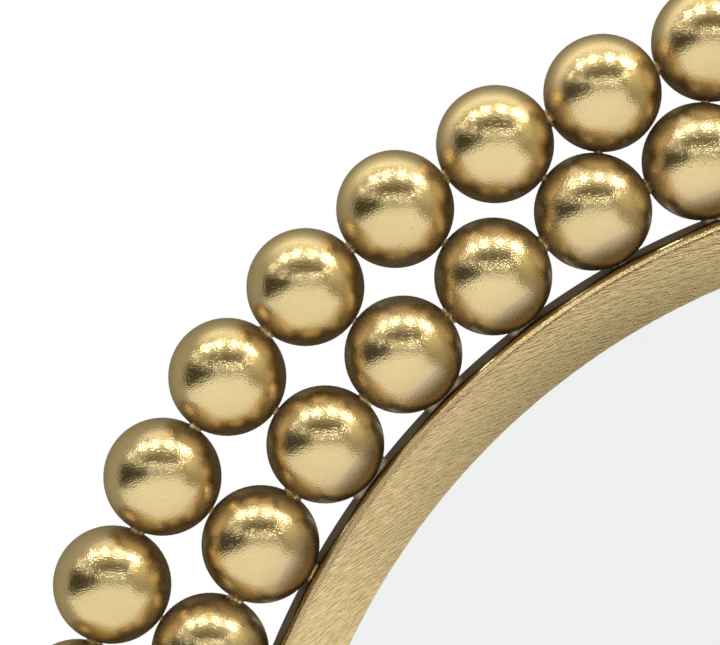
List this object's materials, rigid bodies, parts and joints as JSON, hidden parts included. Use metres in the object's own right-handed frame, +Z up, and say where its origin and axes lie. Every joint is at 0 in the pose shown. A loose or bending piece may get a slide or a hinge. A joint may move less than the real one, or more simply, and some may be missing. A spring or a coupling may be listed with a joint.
{
  "type": "girandole mirror",
  "caption": "Round wall mirror in a brushed gold ring, with two rows of gold metal balls welded round it; it hangs by two D-rings behind.",
  "frame": {"origin": "the mirror's centre, on the wall plane that the rubber bumpers touch", "axes": "+Z up, +X to the right as seen from the front, and the mirror faces -Y; +Y points into the wall"},
  "size_m": [0.8613, 0.053, 0.8708],
  "materials": {
    "aged_gold_balls": "satin antique gold leaf finish on hollow steel balls, fine sparkle, darker towards the joints",
    "brushed_gold_ring": "brushed antique gold with fine streaks running across the band at a slant",
    "mirror_glass": "flat clear silvered plate",
    "foam_tape": "black closed-cell foam",
    "felt_sheet": "grey needled felt",
    "painted_board": "fibreboard painted matt black",
    "zinc_steel": "bright zinc-plated steel",
    "rubber": "matt black rubber"
  },
  "bodies": {
    "frame": {"inner_balls_01": "aged_gold_balls", "inner_balls_02": "aged_gold_balls", "inner_balls_03": "aged_gold_balls", "inner_balls_04": "aged_gold_balls", "inner_balls_05": "aged_gold_balls", "inner_balls_06": "aged_gold_balls", "inner_balls_07": "aged_gold_balls", "inner_balls_08": "aged_gold_balls", "inner_balls_09": "aged_gold_balls", "inner_balls_10": "aged_gold_balls", "inner_balls_11": "aged_gold_balls", "inner_balls_12": "aged_gold_balls", "outer_balls_01": "aged_gold_balls", "outer_balls_02": "aged_gold_balls", "outer_balls_03": "aged_gold_balls", "outer_balls_04": "aged_gold_balls", "outer_balls_05": "aged_gold_balls", "outer_balls_06": "aged_gold_balls", "outer_balls_07": "aged_gold_balls", "outer_balls_08": "aged_gold_balls", "outer_balls_09": "aged_gold_balls", "outer_balls_10": "aged_gold_balls", "outer_balls_11": "aged_gold_balls", "outer_balls_12": "aged_gold_balls", "outer_balls_13": "aged_gold_balls", "frame_ring": "brushed_gold_ring", "mirror_glass": "mirror_glass", "glazing_tape": "foam_tape", "cushion_sheet": "felt_sheet", "backing_board": "painted_board", "button_lug_1": "zinc_steel", "turn_button_screw_1": "zinc_steel", "button_lug_2": "zinc_steel", "turn_button_screw_2": "zinc_steel", "button_lug_3": "zinc_steel", "turn_button_screw_3": "zinc_steel", "button_lug_4": "zinc_steel", "turn_button_screw_4": "zinc_steel", "button_lug_5": "zinc_steel", "turn_button_screw_5": "zinc_steel", "button_lug_6": "zinc_steel", "turn_button_screw_6": "zinc_steel", "hanger_strap_left": "zinc_steel", "hanger_screw_left_1": "zinc_steel", "hanger_screw_left_2": "zinc_steel", "hanger_strap_right": "zinc_steel", "hanger_screw_right_1": "zinc_steel", "hanger_screw_right_2": "zinc_steel", "wall_bumper_1": "rubber", "wall_bumper_2": "rubber", "wall_bumper_3": "rubber", "wall_bumper_4": "rubber"},
    "turn_button_1": {"turn_button_1": "zinc_steel"},
    "turn_button_2": {"turn_button_2": "zinc_steel"},
    "turn_button_3": {"turn_button_3": "zinc_steel"},
    "turn_button_4": {"turn_button_4": "zinc_steel"},
    "turn_button_5": {"turn_button_5": "zinc_steel"},
    "turn_button_6": {"turn_button_6": "zinc_steel"},
    "hanger_ring_left": {"hanger_ring_left": "zinc_steel"},
    "hanger_ring_right": {"hanger_ring_right": "zinc_steel"}
  },
  "joints": [
    {"name": "turn_button_1_pivot", "type": "hinge", "parent": "frame", "child": "turn_button_1", "pos_m": [0.28445, -0.0087, 0.16423], "axis": [0, 1, 0], "range_deg": [-90, 90]},
    {"name": "turn_button_2_pivot", "type": "hinge", "parent": "frame", "child": "turn_button_2", "pos_m": [0, -0.0087, 0.32845], "axis": [0, 1, 0], "range_deg": [-90, 90]},
    {"name": "turn_button_3_pivot", "type": "hinge", "parent": "frame", "child": "turn_button_3", "pos_m": [-0.28445, -0.0087, 0.16423], "axis": [0, 1, 0], "range_deg": [-90, 90]},
    {"name": "turn_button_4_pivot", "type": "hinge", "parent": "frame", "child": "turn_button_4", "pos_m": [-0.28445, -0.0087, -0.16423], "axis": [0, 1, 0], "range_deg": [-90, 90]},
    {"name": "turn_button_5_pivot", "type": "hinge", "parent": "frame", "child": "turn_button_5", "pos_m": [0, -0.0087, -0.32845], "axis": [0, 1, 0], "range_deg": [-90, 90]},
    {"name": "turn_button_6_pivot", "type": "hinge", "parent": "frame", "child": "turn_button_6", "pos_m": [0.28445, -0.0087, -0.16423], "axis": [0, 1, 0], "range_deg": [-90, 90]},
    {"name": "hanger_ring_left_hinge", "type": "hinge", "parent": "frame", "child": "hanger_ring_left", "pos_m": [0.175, -0.0057, 0.15], "axis": [-1, 0, 0], "range_deg": [0, 175]},
    {"name": "hanger_ring_right_hinge", "type": "hinge", "parent": "frame", "child": "hanger_ring_right", "pos_m": [-0.175, -0.0057, 0.15], "axis": [-1, 0, 0], "range_deg": [0, 175]}
  ]
}
